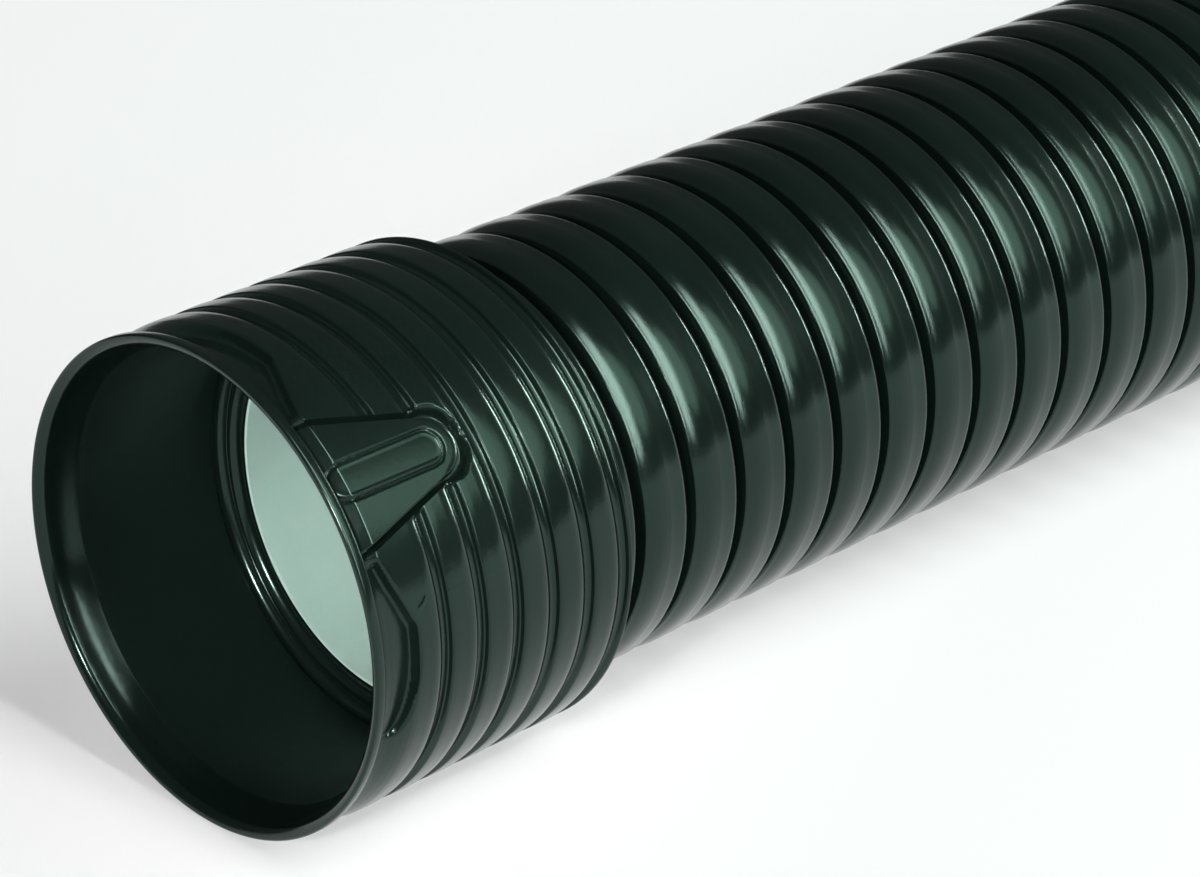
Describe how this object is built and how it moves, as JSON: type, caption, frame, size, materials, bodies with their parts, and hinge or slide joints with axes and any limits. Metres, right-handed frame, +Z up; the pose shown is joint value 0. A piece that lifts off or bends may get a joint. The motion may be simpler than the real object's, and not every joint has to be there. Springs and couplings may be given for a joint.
{
  "type": "corrugated plastic drainage pipe",
  "caption": "Twin-wall corrugated plastic drainage pipe with a smooth pale inner wall, a moulded ribbed socket at one end and a plain end at the other.",
  "frame": {"origin": "on the ground under the middle of the pipe, bottom centre of the bounding box", "axes": "+X along the pipe from the socket mouth to the plain end, +Z up, the pipe lying on its side"},
  "size_m": [2.173, 0.3928, 0.3928],
  "materials": {
    "socket_plastic": "semi-gloss black moulded polyethylene",
    "outer_plastic": "semi-gloss black extruded polyethylene",
    "liner_plastic": "smooth satin pale grey-green polyethylene"
  },
  "bodies": {
    "root": {"socket": "socket_plastic", "corrugated_wall": "outer_plastic", "inner_liner": "liner_plastic"}
  },
  "joints": []
}
